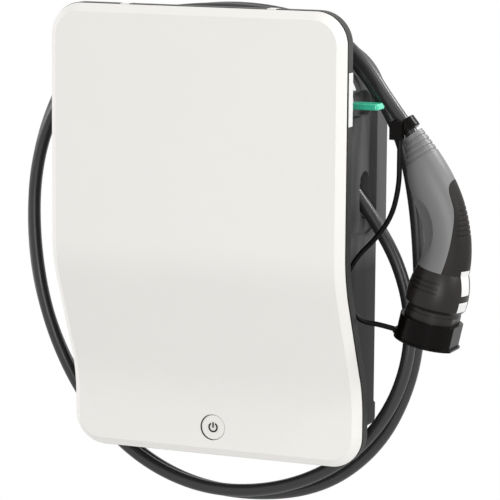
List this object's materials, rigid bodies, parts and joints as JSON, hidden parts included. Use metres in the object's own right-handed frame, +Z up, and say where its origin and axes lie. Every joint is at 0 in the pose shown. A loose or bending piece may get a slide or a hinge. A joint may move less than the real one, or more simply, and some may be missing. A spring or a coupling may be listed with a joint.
{
  "type": "ev wallbox",
  "caption": "Wall-mounted vehicle charging station with a stepped white front cover, key lock, push button and an attached charging cable wound round its housing.",
  "frame": {"origin": "centre of the wall fixing holes on the back plane, which lies against the wall", "axes": "+X to the right seen from the front, +Z up, +Y into the wall; the front cover faces -Y"},
  "size_m": [0.5409, 0.17, 0.5448],
  "materials": {
    "white_plastic": "satin white moulded plastic",
    "grey_plastic": "satin dark grey moulded plastic",
    "light_grey_plastic": "matte grey moulded plastic",
    "black_plastic": "matte black moulded plastic",
    "black_rubber": "soft black rubber",
    "green_plastic": "glossy green plastic",
    "board_green": "green circuit board",
    "zinc_steel": "zinc-plated steel",
    "brass_metal": "plain brass",
    "cable_jacket": "matte dark grey cable jacket"
  },
  "bodies": {
    "wallbox": {"front_cover": "white_plastic", "front_frame": "grey_plastic", "rear_housing": "grey_plastic", "frame_gasket": "black_rubber", "frame_screws": "zinc_steel", "button_switch": "black_plastic", "button_board": "board_green", "lock_body": "zinc_steel", "lock_nut": "zinc_steel", "lock_switch": "black_plastic", "outlet_gland": "black_plastic", "outlet_nut": "black_plastic", "supply_gland": "black_plastic", "supply_cap": "black_plastic", "supply_nut": "black_plastic", "mounting_rail": "zinc_steel", "contactor": "light_grey_plastic", "supply_terminals": "light_grey_plastic", "control_board": "board_green", "board_components": "black_plastic", "board_screws": "zinc_steel", "connector_shell": "light_grey_plastic", "connector_grip": "black_rubber", "connector_nose": "black_plastic", "contact_insert": "black_plastic", "contact_sleeves": "brass_metal", "charge_cable": "cable_jacket", "tether_collar": "black_plastic", "cap_tether": "black_plastic"},
    "button": {"start_button": "white_plastic"},
    "lock": {"lock_barrel": "brass_metal", "lock_cam": "zinc_steel", "key_blade": "zinc_steel", "key_head": "green_plastic"},
    "cap": {"dust_cap": "black_plastic", "cap_seal": "black_rubber"}
  },
  "joints": [
    {"name": "button_press", "type": "slide", "parent": "wallbox", "child": "button", "axis": [0, 1, 0], "range_m": [0, 0.0012], "stiffness_N_per_m": 900},
    {"name": "key_turn", "type": "hinge", "parent": "wallbox", "child": "lock", "pos_m": [0.136, -0.075, 0.1375], "axis": [1, 0, 0], "range_deg": [0, 90]},
    {"name": "cap_pull", "type": "slide", "parent": "wallbox", "child": "cap", "axis": [-0.2181, 0, -0.9759], "range_m": [0, 0.04]}
  ]
}
